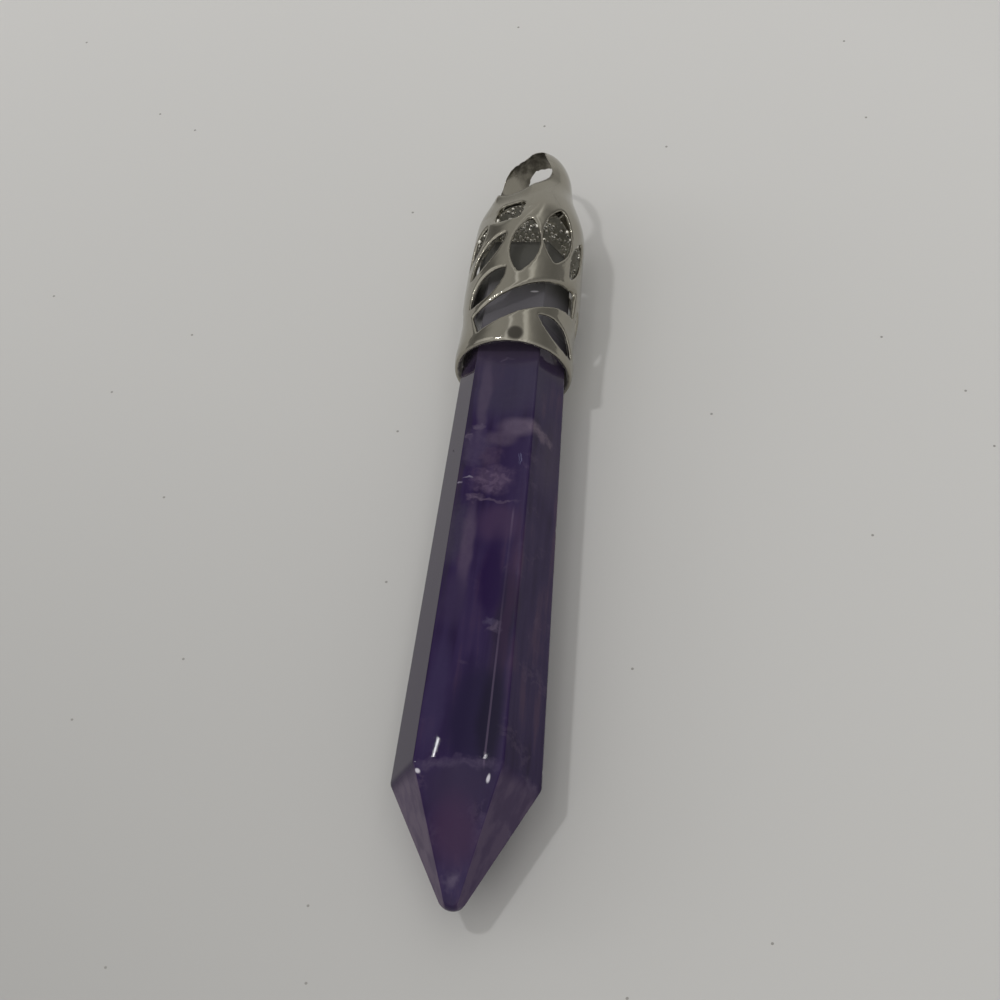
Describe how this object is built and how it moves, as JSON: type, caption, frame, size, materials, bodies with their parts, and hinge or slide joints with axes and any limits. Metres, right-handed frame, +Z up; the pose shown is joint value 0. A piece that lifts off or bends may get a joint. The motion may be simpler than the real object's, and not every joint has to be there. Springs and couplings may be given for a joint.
{
  "type": "crystal point pendant",
  "caption": "Six-sided purple crystal point set in a silver-toned pierced cap, with a bail hole through the cap's flattened top.",
  "frame": {"origin": "middle of the footprint, on the surface that the pendant lies on", "axes": "+Y along the pendant from the tip to the bail, +Z up off the surface, +X to the right seen from the front with the bail away"},
  "size_m": [0.0102, 0.0651, 0.0091],
  "materials": {
    "stone": "polished dark amethyst",
    "metal": "bright plated cast metal, rough inside"
  },
  "bodies": {
    "root": {"crystal_point": "stone", "cap": "metal"}
  },
  "joints": []
}
